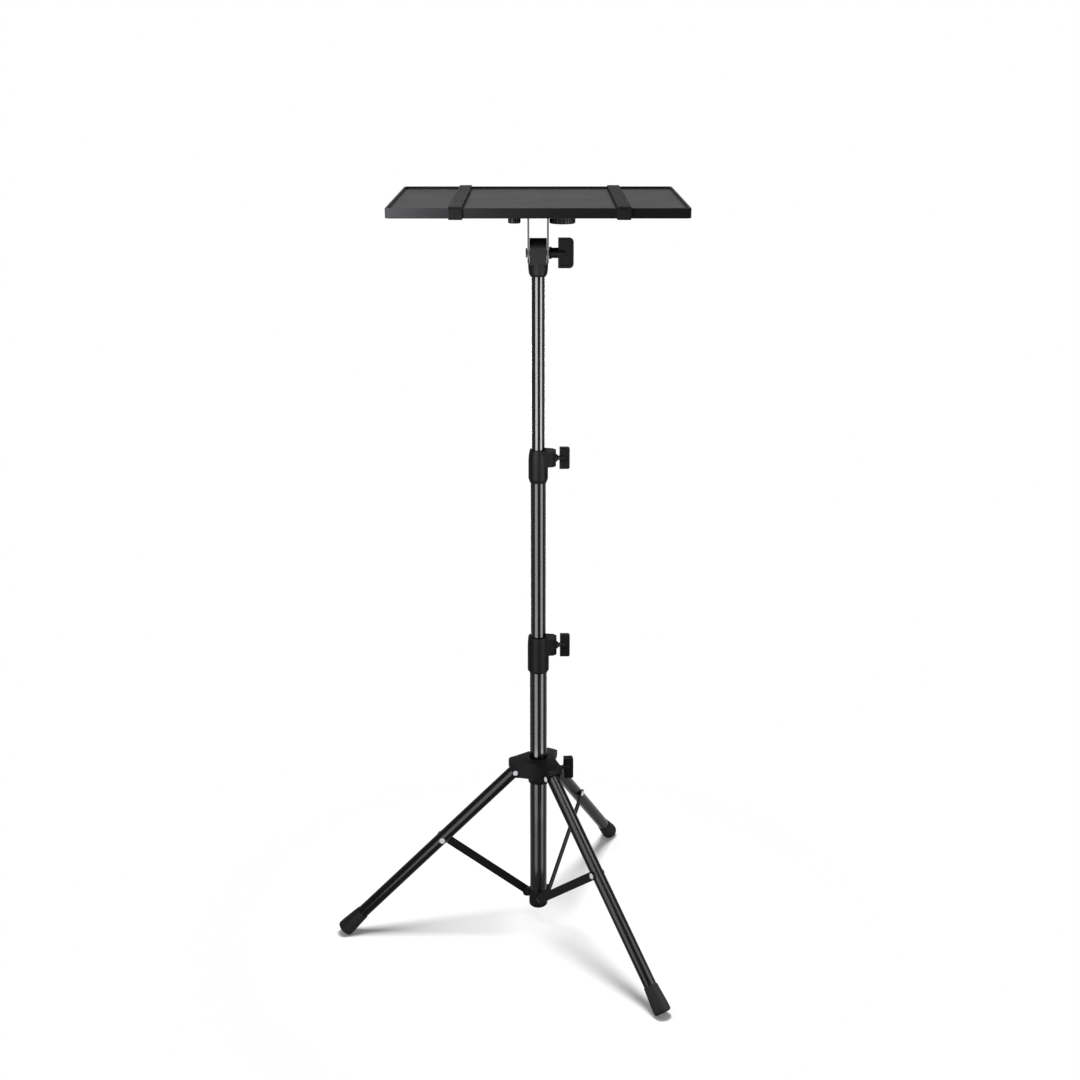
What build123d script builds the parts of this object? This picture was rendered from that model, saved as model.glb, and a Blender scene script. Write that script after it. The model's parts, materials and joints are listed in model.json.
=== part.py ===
from build123d import *
from math import atan2, cos, degrees, pi, radians, sin, sqrt
import os

# Portable projector stand: a tray that tilts on a telescoping mast, over a folding tripod.
# Millimetres, +Z up. Everything is laid out about the mast's axis, with the floor at z = 0.

# Mast: three steel tubes, each sliding in the next one down
UPPER_TUBE_DIA = 16.0
TUBE_WALL = 1.2
SLIDE_CLEARANCE = 0.3
SEAT_CLEARANCE = 0.05
LOWER_TUBE_LENGTH = 362.5
MIDDLE_TUBE_LENGTH = 400.0
UPPER_TUBE_LENGTH = 420.0
MIDDLE_TUBE_OUT = 243.5
UPPER_TUBE_OUT = 240.5

# Clamps: a moulded collar on the top of a tube, with a lug for a thumb screw
CLAMP_WALL = 2.4
LOWER_CLAMP_GRIP = 30.5
LOWER_CLAMP_RISE = 17.0
LOWER_CLAMP_RIM = 2.6
LOWER_CLAMP_TAPER = 2.5
UPPER_CLAMP_GRIP = 25.5
UPPER_CLAMP_RISE = 15.5
UPPER_CLAMP_RIM = 1.8
UPPER_CLAMP_TAPER = 5.0
CLAMP_MOUTH = 0.6
CLAMP_SHOULDER = 15.0
CLAMP_SCREW_RISE = 5.0
LOWER_LUG_REACH = 23.0
LOWER_LUG_HEIGHT = 24.0
UPPER_LUG_REACH = 21.5
UPPER_LUG_HEIGHT = 21.0
LUG_DEPTH = 20.0
LUG_DRAFT = 1.5
LUG_BEVEL = 4.0
LUG_NOSE_DIA = 10.0
LUG_NOSE_TIP_DIA = 7.6
LUG_NOSE_REACH = 2.0

# Thumb screws: a steel screw with a moulded T-shaped paddle
SCREW_DIA = 6.0
SCREW_CLEARANCE = 0.1
SCREW_SEAT = 6.0
PADDLE_GAP = 4.2
PADDLE_WIDTH = 12.4
PADDLE_DEPTH = 9.0
PADDLE_CORNER = 2.4
PADDLE_EDGE = 1.2
PADDLE_BOSS_DIA = 12.0
PADDLE_BOSS_REACH = 8.0
LOWER_PADDLE_LENGTH = 29.0
UPPER_PADDLE_LENGTH = 26.4
HUB_PADDLE_LENGTH = 29.0
HUB_PADDLE_GAP = 7.8

# Tripod: legs hinged on a sliding hub, each held by a flat brace from the collar below
LEG_DIA = 16.0
LEG_WALL = 1.2
LEG_LENGTH = 318.2
LEG_SPREAD = 45.8
LEG_HEEL = 6.0
TRIPOD_TURN = 5.8
BRACE_POINT = 134.7
BRACE_LENGTH = 142.6
BRACE_WIDTH = 11.0
BRACE_THICKNESS = 1.7
BRACE_CLEARANCE = 0.4
RIVET_DIA = 4.0
RIVET_HEAD_DIA = 7.6
RIVET_HEAD_HEIGHT = 1.6
RIVET_CLEARANCE = 0.1

# Hub: one moulding with three forked arms, falling to their closed ends, and a boss for its screw
HUB_PIVOT_RADIUS = 30.0
HUB_ARM_REACH = 38.5
HUB_CHEEK = 2.1
HUB_LEG_CLEARANCE = 0.4
HUB_TOP = 17.5
HUB_ARM_TOP = 13.0
HUB_BOTTOM = 17.0
HUB_CHEEK_DROP = 6.0
HUB_CHEEK_RUN = 3.0
HUB_END_RISE = 6.8
HUB_CROWN = 1.2
HUB_WEB_RADIUS = 60.0
HUB_RIM = 3.0
HUB_SLEEVE = 1.6
HUB_RIVET_FACE = 0.8
HUB_BOSS_DIA = 14.0
HUB_BOSS_REACH = 25.0
HUB_SCREW_RISE = 0.5

# Collar at the foot of the mast, with three lugs for the braces
COLLAR_PIVOT_RADIUS = 15.0
COLLAR_WALL = 1.2
COLLAR_HEIGHT = 24.0
COLLAR_FLOOR = 5.5
COLLAR_PIVOT_RISE = 17.5
COLLAR_EDGE = 4.0
COLLAR_LUG_THICKNESS = 5.5

# Rubber feet, ground flat where they meet the floor
FOOT_LENGTH = 35.0
FOOT_DIA = 21.6
FOOT_TOP_DIA = 17.6
FOOT_SOLE = 6.0
FOOT_HEEL = 8.0
FOOT_EDGE = 3.0
FOOT_FLAT = 0.8

# Tilt head: a moulded tongue on the upper tube, held between the bracket's cheeks by one bolt
HEAD_SOCKET_DEPTH = 17.0
HEAD_AXIS_RISE = 27.0
HEAD_TOP_RISE = 44.0
HEAD_SOCKET_DIA = 23.4
HEAD_MOUTH_DIA = 18.0
HEAD_NECK_DIA = 21.4
HEAD_NECK_RISE = 3.0
HEAD_TONGUE_WIDTH = 20.0
HEAD_TONGUE_DEPTH = 23.0
HEAD_TONGUE_ROUND = 11.0
HEAD_CHEEK_GAP = 0.6
TILT_BOLT_DIA = 6.0
TILT_BOLT_HEAD_DIA = 11.0
TILT_BOLT_HEAD_HEIGHT = 1.8
TILT_STEM_DIA = 12.0
TILT_STEM_LENGTH = 10.6
TILT_COLLAR_DIA = 14.0
TILT_COLLAR_WIDTH = 3.0
TILT_PADDLE_WIDTH = 18.0
TILT_PADDLE_LENGTH = 34.5
TILT_PADDLE_DEPTH = 10.0
TILT_PADDLE_CORNER = 5.0
TILT_PANEL_INSET = 3.0
TILT_PANEL_DEPTH = 1.2

# Bracket under the tray: a plate with two cheeks, and two ribbed hand nuts
BRACKET_THICKNESS = 2.0
BRACKET_CLEARANCE = 0.3
BRACKET_RISE = 53.0
BRACKET_PLATE_LENGTH = 92.0
BRACKET_PLATE_DEPTH = 60.0
BRACKET_PLATE_CORNER = 8.0
CHEEK_FOOT_DEPTH = 24.0
CHEEK_TOP_DEPTH = 36.0
LEFT_NUT_DIA = 14.6
LEFT_NUT_PLACE = -27.4
RIGHT_NUT_DIA = 30.0
RIGHT_NUT_PLACE = 28.0
NUT_HEAD_HEIGHT = 11.0
NUT_DROP = 17.0
NUT_NECK_DIA = 10.0
NUT_RIB_PITCH = 3.0
NUT_RIB_DIA = 1.6

# Tray: a shallow moulding with a low lip, hollow and ribbed underneath
TRAY_WIDTH = 328.0
TRAY_DEPTH = 257.0
TRAY_HEIGHT = 11.0
TRAY_CORNER = 5.0
TRAY_LIP = 2.6
TRAY_LIP_HEIGHT = 2.6
TRAY_FLOOR = 2.6
TRAY_EDGE = 0.8
TRAY_RIB = 2.0
TRAY_RIB_COLUMNS = 5
TRAY_RIB_ROWS = 3

# Straps: webbing drawn tight round the tray
STRAP_WIDTH = 15.0
STRAP_THICKNESS = 1.4
STRAP_CLEARANCE = 0.2
LEFT_STRAP_PLACE = -88.5
RIGHT_STRAP_PLACE = 92.0

# Diameters of the telescoping tubes
tube_step = 2 * (TUBE_WALL + SLIDE_CLEARANCE)
middle_tube_dia = UPPER_TUBE_DIA + tube_step
lower_tube_dia = middle_tube_dia + tube_step

# Heights: the feet stand on the floor, the legs carry the hub, the braces hold the collar
spread = radians(LEG_SPREAD)
foot_rim = FOOT_DIA / 2 - FOOT_EDGE
foot_end_z = foot_rim * sin(spread) + FOOT_EDGE * (1 - cos(spread)) - FOOT_FLAT
pivot_z = foot_end_z + LEG_LENGTH * cos(spread)
brace_top_r = HUB_PIVOT_RADIUS + BRACE_POINT * sin(spread)
brace_top_z = pivot_z - BRACE_POINT * cos(spread)
brace_run = brace_top_r - COLLAR_PIVOT_RADIUS
brace_rise = sqrt(BRACE_LENGTH**2 - brace_run**2)
collar_pivot_z = brace_top_z - brace_rise
collar_z = collar_pivot_z - COLLAR_PIVOT_RISE
lower_tube_z = collar_z + COLLAR_FLOOR
lower_tube_top = lower_tube_z + LOWER_TUBE_LENGTH
middle_tube_top = lower_tube_top + MIDDLE_TUBE_OUT
upper_tube_top = middle_tube_top + UPPER_TUBE_OUT
head_z = upper_tube_top - HEAD_SOCKET_DEPTH
tilt_z = head_z + HEAD_AXIS_RISE
tray_z = tilt_z + BRACKET_RISE

LEG_AZIMUTHS = {
    "left": TRIPOD_TURN + 180,
    "front": TRIPOD_TURN + 300,
    "rear": TRIPOD_TURN + 60,
}
UPRIGHT = (Align.CENTER, Align.CENTER, Align.MIN)
HANGING = (Align.CENTER, Align.CENTER, Align.MAX)

nodes = {}


def rod_x(radius, start, end, z=0.0):
    """A round bar along X at height z."""
    return Pos(start, 0, z) * Rot(0, 90, 0) * Cylinder(radius, end - start, align=UPRIGHT)


def rod_y(radius, start, end):
    """A round bar along Y."""
    return Pos(0, start, 0) * Rot(-90, 0, 0) * Cylinder(radius, end - start, align=UPRIGHT)


def turned(outline):
    """A solid of revolution about Z, from a closed outline in radius and height."""
    return revolve(Plane.XZ * make_face(outline), Axis.Z)


def tube(diameter, wall, bottom, top):
    """An open round tube."""
    outer = Cylinder(diameter / 2, top - bottom, align=UPRIGHT)
    inner = Cylinder(diameter / 2 - wall, top - bottom, align=UPRIGHT)
    return Pos(0, 0, bottom) * (outer - inner)


def rivet_head():
    """A domed rivet head that sits on the XZ plane and rises along +Y."""
    dome_radius = (RIVET_HEAD_HEIGHT**2 + (RIVET_HEAD_DIA / 2) ** 2) / (2 * RIVET_HEAD_HEIGHT)
    ball = Pos(0, RIVET_HEAD_HEIGHT - dome_radius, 0) * Sphere(dome_radius)
    return ball & rod_y(RIVET_HEAD_DIA / 2, 0, RIVET_HEAD_HEIGHT)


def rivet(start, end, head_at_start=True, head_at_end=True):
    """A round rivet along Y from start to end, headed on the outside at either end."""
    body = rod_y(RIVET_DIA / 2, start, end)
    if head_at_start:
        body += Pos(0, start, 0) * Rot(180, 0, 0) * rivet_head()
    if head_at_end:
        body += Pos(0, end, 0) * rivet_head()
    return body


def paddle(start, width, length, depth, corner):
    """The T-shaped grip of a thumb screw, along X from start, square on its inner side."""
    outline = Pos(start, 0) * Rectangle(width, length, align=(Align.MIN, Align.CENTER))
    outline = fillet(outline.vertices().group_by(Axis.X)[-1], corner)
    wing = extrude(Plane.XZ * outline, amount=depth / 2, both=True)
    rims = wing.edges().group_by(Axis.Y)
    wing = fillet(rims[0] + rims[-1], PADDLE_EDGE)
    return wing + rod_x(PADDLE_BOSS_DIA / 2, start, start + PADDLE_BOSS_REACH)


def thumb_screw(tip, paddle_start, paddle_length):
    """A screw along X with its paddle, as two solids: the steel screw and the grip on it."""
    seat = paddle_start + SCREW_SEAT
    screw = rod_x(SCREW_DIA / 2, tip, seat)
    grip = paddle(paddle_start, PADDLE_WIDTH, paddle_length, PADDLE_DEPTH, PADDLE_CORNER)
    return screw, grip - rod_x(SCREW_DIA / 2, paddle_start, seat)


def clamp(outer_tube, inner_tube, grip, rise, rim_wall, taper, lug_reach, lug_height):
    """A collar that grips the top of one tube and lets the next slide; z = 0 is the tube's end."""
    radius = outer_tube / 2 + CLAMP_WALL
    seat = outer_tube / 2 + SEAT_CLEARANCE
    slide = inner_tube / 2 + SLIDE_CLEARANCE
    rim = (slide + rim_wall, rise)
    shoulder = (radius, rise - CLAMP_SHOULDER)
    wall = Polyline(
        rim,
        (slide, rise),
        (slide, 0),
        (seat, 0),
        (seat, -grip),
        (seat + CLAMP_MOUTH, -grip),
        (radius, taper - grip),
        shoulder,
    )
    body = turned(wall + TangentArc(shoulder, rim, tangent=(0, 1)))
    lug = Plane.XZ * make_face(
        Polyline(
            (0, CLAMP_SCREW_RISE - lug_height / 2),
            (lug_reach, CLAMP_SCREW_RISE - lug_height / 2 + LUG_DRAFT),
            (lug_reach, CLAMP_SCREW_RISE + lug_height / 2 - LUG_DRAFT),
            (0, CLAMP_SCREW_RISE + lug_height / 2),
            close=True,
        )
    )
    lug = extrude(lug, amount=LUG_DEPTH / 2, both=True)
    lug = chamfer(lug.edges().filter_by(Axis.Z).group_by(Axis.X)[-1], LUG_BEVEL)
    nose = Cone(LUG_NOSE_DIA / 2, LUG_NOSE_TIP_DIA / 2, LUG_NOSE_REACH, align=UPRIGHT)
    lug += Pos(lug_reach, 0, CLAMP_SCREW_RISE) * Rot(0, 90, 0) * nose
    lug -= Cylinder((seat + radius) / 2, 2 * (grip + rise))
    hole = rod_x(SCREW_DIA / 2 + SCREW_CLEARANCE, 0, lug_reach + PADDLE_GAP, CLAMP_SCREW_RISE)
    return body + lug - hole


# Tubes of the mast, each standing a set length out of the one below
nodes["lower_tube"] = tube(lower_tube_dia, TUBE_WALL, lower_tube_z, lower_tube_top)
nodes["middle_tube"] = tube(
    middle_tube_dia, TUBE_WALL, middle_tube_top - MIDDLE_TUBE_LENGTH, middle_tube_top
)
nodes["upper_tube"] = tube(
    UPPER_TUBE_DIA, TUBE_WALL, upper_tube_top - UPPER_TUBE_LENGTH, upper_tube_top
)

# Clamps and their thumb screws
CLAMPS = {
    "lower": (
        lower_tube_top, LOWER_PADDLE_LENGTH, lower_tube_dia, middle_tube_dia, LOWER_CLAMP_GRIP,
        LOWER_CLAMP_RISE, LOWER_CLAMP_RIM, LOWER_CLAMP_TAPER, LOWER_LUG_REACH, LOWER_LUG_HEIGHT,
    ),
    "upper": (
        middle_tube_top, UPPER_PADDLE_LENGTH, middle_tube_dia, UPPER_TUBE_DIA, UPPER_CLAMP_GRIP,
        UPPER_CLAMP_RISE, UPPER_CLAMP_RIM, UPPER_CLAMP_TAPER, UPPER_LUG_REACH, UPPER_LUG_HEIGHT,
    ),
}
for place, (seat_z, paddle_length, *sizes) in CLAMPS.items():
    nodes[f"{place}_clamp"] = Pos(0, 0, seat_z) * clamp(*sizes)
    inner_tube, lug_reach = sizes[1], sizes[-2]
    screw, knob = thumb_screw(
        inner_tube / 2 + SLIDE_CLEARANCE, lug_reach + PADDLE_GAP, paddle_length
    )
    at_screw = Pos(0, 0, seat_z + CLAMP_SCREW_RISE)
    nodes[f"{place}_screw"] = at_screw * screw
    nodes[f"{place}_knob"] = at_screw * knob

# Collar at the foot of the mast: a tapered plug round the lower tube, with a lug for each brace
collar_radius = lower_tube_dia / 2 + COLLAR_WALL
brace_side = -(LEG_DIA / 2 + BRACE_CLEARANCE)
lug_side = brace_side + BRACE_CLEARANCE
lug_round = BRACE_WIDTH / 2
collar = Cylinder(collar_radius, COLLAR_HEIGHT, align=UPRIGHT)
collar = fillet(collar.edges().group_by(Axis.Z)[0], COLLAR_EDGE)
collar = chamfer(collar.edges().group_by(Axis.Z)[-1], COLLAR_WALL / 2)
collar_bore = Pos(0, 0, COLLAR_FLOOR) * Cylinder(
    lower_tube_dia / 2 + SEAT_CLEARANCE, COLLAR_HEIGHT, align=UPRIGHT
)
brace_lug = Pos(COLLAR_PIVOT_RADIUS, 0, COLLAR_PIVOT_RISE) * (
    rod_y(lug_round, lug_side, lug_side + COLLAR_LUG_THICKNESS)
    + Pos(0, lug_side, 0)
    * Box(
        COLLAR_PIVOT_RADIUS, COLLAR_LUG_THICKNESS, BRACE_WIDTH,
        align=(Align.MAX, Align.MIN, Align.CENTER),
    )
)
pin_hole = rod_y(RIVET_DIA / 2 + RIVET_CLEARANCE, -LEG_DIA, LEG_DIA)
brace_lug -= Pos(COLLAR_PIVOT_RADIUS, 0, COLLAR_PIVOT_RISE) * pin_hole
for azimuth in LEG_AZIMUTHS.values():
    collar += Rot(0, 0, azimuth) * brace_lug
nodes["bottom_collar"] = Pos(0, 0, collar_z) * (collar - collar_bore)

# Hub: the plan of three arms with wide webs, trimmed to the hub's turned outline
arm_half = LEG_DIA / 2 + HUB_LEG_CLEARANCE + HUB_CHEEK
hub_plan = Sketch()
for azimuth in LEG_AZIMUTHS.values():
    arm_plan = Rectangle(2 * HUB_ARM_REACH, 2 * arm_half, align=(Align.MIN, Align.CENTER))
    hub_plan += Rot(0, 0, azimuth) * arm_plan
web_corners = hub_plan.vertices().sort_by(lambda v: Vector(v).length)[:3]
hub_plan = fillet(web_corners, HUB_WEB_RADIUS)
sleeve_foot = (lower_tube_dia / 2 + SLIDE_CLEARANCE + HUB_SLEEVE, -HUB_BOTTOM)
cheek_foot = (HUB_PIVOT_RADIUS - LEG_DIA / 2, -HUB_CHEEK_DROP)
rim_radius = sleeve_foot[0] + HUB_RIM
hub_form = turned(
    TangentArc(sleeve_foot, cheek_foot, tangent=(0, 1))
    + Polyline(
        cheek_foot,
        (HUB_PIVOT_RADIUS + HUB_CHEEK_RUN, -HUB_CHEEK_DROP),
        (HUB_ARM_REACH, HUB_END_RISE),
        (HUB_ARM_REACH, HUB_ARM_TOP - HUB_CROWN),
        (HUB_ARM_REACH - HUB_CROWN, HUB_ARM_TOP),
        (rim_radius, HUB_TOP),
        (0, HUB_TOP),
        (0, -HUB_BOTTOM),
        sleeve_foot,
    )
)
hub = hub_form & (Pos(0, 0, -HUB_BOTTOM) * extrude(hub_plan, amount=HUB_BOTTOM + HUB_TOP))
hub_boss = Rot(0, 0, TRIPOD_TURN) * rod_x(HUB_BOSS_DIA / 2, 0, HUB_BOSS_REACH, HUB_SCREW_RISE)
hub += hub_boss
heel_sweep = sqrt(LEG_HEEL**2 + (LEG_DIA / 2) ** 2)
slot_start = HUB_PIVOT_RADIUS - heel_sweep - 2 * HUB_LEG_CLEARANCE
slot_end = HUB_ARM_REACH - HUB_CHEEK


def leg_slot(end, top):
    """Room for a leg in its arm, open below, from the heel out to a given end."""
    return Pos(slot_start, 0, top) * Box(
        end - slot_start, LEG_DIA + 2 * HUB_LEG_CLEARANCE, HUB_TOP + 2 * HUB_BOTTOM,
        align=(Align.MIN, Align.CENTER, Align.MAX),
    )


leg_room = leg_slot(slot_end, heel_sweep + HUB_LEG_CLEARANCE) + leg_slot(2 * HUB_ARM_REACH, HUB_END_RISE)
rivet_face = RIVET_HEAD_DIA / 2 + HUB_RIVET_FACE
leg_room += Pos(HUB_PIVOT_RADIUS, 0, 0) * Sphere(heel_sweep + HUB_LEG_CLEARANCE)
leg_room += Pos(HUB_PIVOT_RADIUS, 0, 0) * pin_hole
leg_room += Pos(HUB_PIVOT_RADIUS, 0, 0) * rod_y(rivet_face, arm_half, 2 * arm_half)
leg_room += Pos(HUB_PIVOT_RADIUS, 0, 0) * rod_y(rivet_face, -2 * arm_half, -arm_half)
for azimuth in LEG_AZIMUTHS.values():
    hub -= Rot(0, 0, azimuth) * leg_room
hub -= Cylinder(lower_tube_dia / 2 + SLIDE_CLEARANCE, 2 * (HUB_TOP + HUB_BOTTOM))
hub -= Rot(0, 0, TRIPOD_TURN) * rod_x(
    SCREW_DIA / 2 + SCREW_CLEARANCE, 0, HUB_ARM_REACH, HUB_SCREW_RISE
)
nodes["hub"] = Pos(0, 0, pivot_z) * hub
hub_screw, hub_grip = thumb_screw(
    lower_tube_dia / 2 + SLIDE_CLEARANCE, HUB_BOSS_REACH + HUB_PADDLE_GAP, HUB_PADDLE_LENGTH
)
at_hub_screw = Pos(0, 0, pivot_z + HUB_SCREW_RISE) * Rot(0, 0, TRIPOD_TURN)
nodes["hub_screw"] = at_hub_screw * hub_screw
nodes["hub_knob"] = at_hub_screw * hub_grip

# One leg, modelled from its pivot down -Z, with its rubber foot, and one brace beside it
leg = Pos(0, 0, LEG_HEEL) * (
    Cylinder(LEG_DIA / 2, LEG_LENGTH + LEG_HEEL - FOOT_SOLE, align=HANGING)
    - Cylinder(LEG_DIA / 2 - LEG_WALL, LEG_LENGTH + LEG_HEEL - FOOT_SOLE, align=HANGING)
)
leg -= pin_hole + Pos(0, 0, -BRACE_POINT) * pin_hole
foot_bore = LEG_DIA / 2 + SEAT_CLEARANCE
foot_outline = Polyline(
    (0, -LEG_LENGTH),
    (FOOT_DIA / 2, -LEG_LENGTH),
    (FOOT_DIA / 2, FOOT_HEEL - LEG_LENGTH),
    (FOOT_TOP_DIA / 2, FOOT_LENGTH - LEG_LENGTH),
    (foot_bore, FOOT_LENGTH - LEG_LENGTH),
    (foot_bore, FOOT_SOLE - LEG_LENGTH),
    (0, FOOT_SOLE - LEG_LENGTH),
    close=True,
)
foot_face = make_face(foot_outline)
sole_corner = foot_face.vertices().group_by(Axis.Y)[0].sort_by(Axis.X)[-1]
foot = revolve(Plane.XZ * fillet(sole_corner, FOOT_EDGE), Axis.Z)
at_leg = Pos(HUB_PIVOT_RADIUS, 0, pivot_z) * Rot(0, -LEG_SPREAD, 0)
foot = at_leg * foot
below_floor = Pos(HUB_PIVOT_RADIUS + LEG_LENGTH * sin(spread), 0, 0) * Box(
    4 * FOOT_LENGTH, 4 * FOOT_LENGTH, 2 * FOOT_DIA, align=HANGING
)
foot -= below_floor

brace_outside = brace_side - BRACE_THICKNESS
brace_tilt = degrees(atan2(brace_rise, brace_run))
at_collar_pivot = Pos(COLLAR_PIVOT_RADIUS, 0, collar_pivot_z)
at_brace_top = Pos(brace_top_r, 0, brace_top_z)
brace_plan = SlotCenterToCenter(BRACE_LENGTH, BRACE_WIDTH)
brace_plan -= Pos(-BRACE_LENGTH / 2, 0) * Circle(RIVET_DIA / 2 + RIVET_CLEARANCE)
brace_bar = extrude(Plane.XZ * brace_plan, amount=BRACE_THICKNESS)
brace = Pos(0, brace_side, 0) * at_collar_pivot * Rot(0, -brace_tilt, 0) * Pos(
    BRACE_LENGTH / 2, 0, 0
) * brace_bar

leg_pieces = {
    "leg": at_leg * leg,
    "foot": foot,
    "brace": brace,
    "hub_rivet": Pos(HUB_PIVOT_RADIUS, 0, pivot_z) * rivet(-arm_half, arm_half),
    "leg_rivet": at_brace_top * rivet(-LEG_DIA / 2, LEG_DIA / 2, head_at_start=False),
    "brace_rivet": at_brace_top * Pos(0, brace_outside, 0) * Rot(180, 0, 0) * rivet_head(),
    "collar_rivet": at_collar_pivot
    * rivet(brace_outside, lug_side + COLLAR_LUG_THICKNESS, head_at_end=False),
}
for side, azimuth in LEG_AZIMUTHS.items():
    for piece, solid in leg_pieces.items():
        nodes[f"{piece}_{side}"] = Rot(0, 0, azimuth) * solid

# Tilt head: a socket on the upper tube that rises into a rounded tongue
tongue_half = HEAD_TONGUE_WIDTH / 2
shoulder_rise = HEAD_AXIS_RISE - CHEEK_FOOT_DEPTH / 2 - HEAD_CHEEK_GAP
tongue = Pos(0, 0, shoulder_rise) * Box(
    HEAD_TONGUE_WIDTH, HEAD_TONGUE_DEPTH, HEAD_TOP_RISE - shoulder_rise, align=UPRIGHT
)
tongue = fillet(tongue.edges().filter_by(Axis.X).group_by(Axis.Z)[-1], HEAD_TONGUE_ROUND)
neck = (HEAD_NECK_DIA / 2, HEAD_NECK_RISE)
shoulder = (HEAD_SOCKET_DIA / 2, shoulder_rise)
socket = turned(
    Polyline(shoulder, (0, shoulder_rise), (0, 0), (HEAD_MOUTH_DIA / 2, 0), neck)
    + TangentArc(shoulder, neck, tangent=(0, -1))
)
head = tongue + socket
head -= Cylinder(UPPER_TUBE_DIA / 2 + SEAT_CLEARANCE, HEAD_SOCKET_DEPTH, align=UPRIGHT)
head -= rod_x(
    TILT_BOLT_DIA / 2 + SCREW_CLEARANCE, -HEAD_SOCKET_DIA, HEAD_SOCKET_DIA, HEAD_AXIS_RISE
)
nodes["tilt_head"] = Pos(0, 0, head_z) * head

# Tilt bolt and its T-shaped knob
cheek_inside = tongue_half + BRACKET_CLEARANCE
cheek_outside = cheek_inside + BRACKET_THICKNESS
stem_start = cheek_outside + BRACKET_CLEARANCE
stem_end = stem_start + TILT_STEM_LENGTH
bolt_end = stem_end - SCREW_CLEARANCE
bolt = rod_x(TILT_BOLT_DIA / 2, -cheek_outside - BRACKET_CLEARANCE, bolt_end)
bolt_head_start = -cheek_outside - BRACKET_CLEARANCE - TILT_BOLT_HEAD_HEIGHT
bolt_head = rod_x(TILT_BOLT_HEAD_DIA / 2, bolt_head_start, -cheek_outside - BRACKET_CLEARANCE)
bolt_head = chamfer(bolt_head.edges().group_by(Axis.X)[0], TILT_BOLT_HEAD_HEIGHT * 0.4)
nodes["tilt_bolt"] = Pos(0, 0, tilt_z) * (bolt + bolt_head)
tilt_knob = rod_x(TILT_STEM_DIA / 2, stem_start, stem_end)
tilt_knob += rod_x(TILT_COLLAR_DIA / 2, stem_start, stem_start + TILT_COLLAR_WIDTH)
tilt_knob += paddle(
    stem_end, TILT_PADDLE_WIDTH, TILT_PADDLE_LENGTH, TILT_PADDLE_DEPTH, TILT_PADDLE_CORNER
)
panel = RectangleRounded(
    TILT_PADDLE_WIDTH - 2 * TILT_PANEL_INSET,
    TILT_PADDLE_LENGTH - 2 * TILT_PANEL_INSET,
    TILT_PADDLE_CORNER - TILT_PANEL_INSET,
)
panel = Plane.XZ * Pos(stem_end + TILT_PADDLE_WIDTH / 2, 0) * panel
recess = extrude(panel, amount=TILT_PANEL_DEPTH / 2, both=True)
for side in (-1, 1):
    tilt_knob -= Pos(0, side * (TILT_PADDLE_DEPTH - TILT_PANEL_DEPTH) / 2, 0) * recess
tilt_knob -= rod_x(TILT_BOLT_DIA / 2 + SCREW_CLEARANCE, 0, stem_end)
nodes["tilt_knob"] = Pos(0, 0, tilt_z) * tilt_knob

# Bracket: the plate under the tray and the two cheeks that straddle the head
plate = Plane.XY * RectangleRounded(
    BRACKET_PLATE_LENGTH, BRACKET_PLATE_DEPTH, BRACKET_PLATE_CORNER
)
bracket = Pos(0, 0, BRACKET_RISE - BRACKET_THICKNESS) * extrude(plate, amount=BRACKET_THICKNESS)
cheek_round = CHEEK_FOOT_DEPTH / 2
cheek_face = Circle(cheek_round) + make_face(
    Polyline(
        (-cheek_round, 0),
        (cheek_round, 0),
        (CHEEK_TOP_DEPTH / 2, BRACKET_RISE - BRACKET_THICKNESS),
        (-CHEEK_TOP_DEPTH / 2, BRACKET_RISE - BRACKET_THICKNESS),
        close=True,
    )
)
cheek_face -= Circle(TILT_BOLT_DIA / 2 + BRACKET_CLEARANCE)
cheek = extrude(Plane.YZ * cheek_face, amount=BRACKET_THICKNESS)
bracket += Pos(cheek_inside, 0, 0) * cheek
bracket += Pos(-cheek_outside, 0, 0) * cheek
nodes["tilt_bracket"] = Pos(0, 0, tilt_z) * bracket

# Hand nuts under the plate, ribbed all round
for name, place, diameter in (
    ("left_hand_nut", LEFT_NUT_PLACE, LEFT_NUT_DIA),
    ("right_hand_nut", RIGHT_NUT_PLACE, RIGHT_NUT_DIA),
):
    nut = Pos(0, 0, -NUT_DROP) * Cylinder(diameter / 2, NUT_HEAD_HEIGHT, align=UPRIGHT)
    nut = chamfer(nut.edges(), NUT_RIB_DIA / 2)
    rib_count = round(pi * diameter / NUT_RIB_PITCH)
    groove = Pos(0, 0, -NUT_DROP) * Cylinder(NUT_RIB_DIA / 2, NUT_HEAD_HEIGHT, align=UPRIGHT)
    nut -= PolarLocations(diameter / 2, rib_count) * groove
    nut += Cylinder(NUT_NECK_DIA / 2, NUT_DROP - NUT_HEAD_HEIGHT / 2, align=HANGING)
    nodes[name] = Pos(place, 0, tray_z - BRACKET_THICKNESS) * nut

# Tray: lip and floor above, skirt, bracket pad and ribs below
tray = extrude(RectangleRounded(TRAY_WIDTH, TRAY_DEPTH, TRAY_CORNER), amount=TRAY_HEIGHT)
tray = fillet(tray.edges().group_by(Axis.Z)[-1] + tray.edges().group_by(Axis.Z)[0], TRAY_EDGE)
inside_width = TRAY_WIDTH - 2 * TRAY_LIP
inside_depth = TRAY_DEPTH - 2 * TRAY_LIP
inside = RectangleRounded(inside_width, inside_depth, TRAY_CORNER - TRAY_LIP / 2)
floor_top = TRAY_HEIGHT - TRAY_LIP_HEIGHT
floor_bottom = floor_top - TRAY_FLOOR
tray -= Pos(0, 0, floor_top) * extrude(inside, amount=TRAY_LIP_HEIGHT)
hollow = extrude(inside, amount=floor_bottom)
hollow -= extrude(
    RectangleRounded(BRACKET_PLATE_LENGTH, BRACKET_PLATE_DEPTH, BRACKET_PLATE_CORNER),
    amount=floor_bottom,
)
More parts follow.
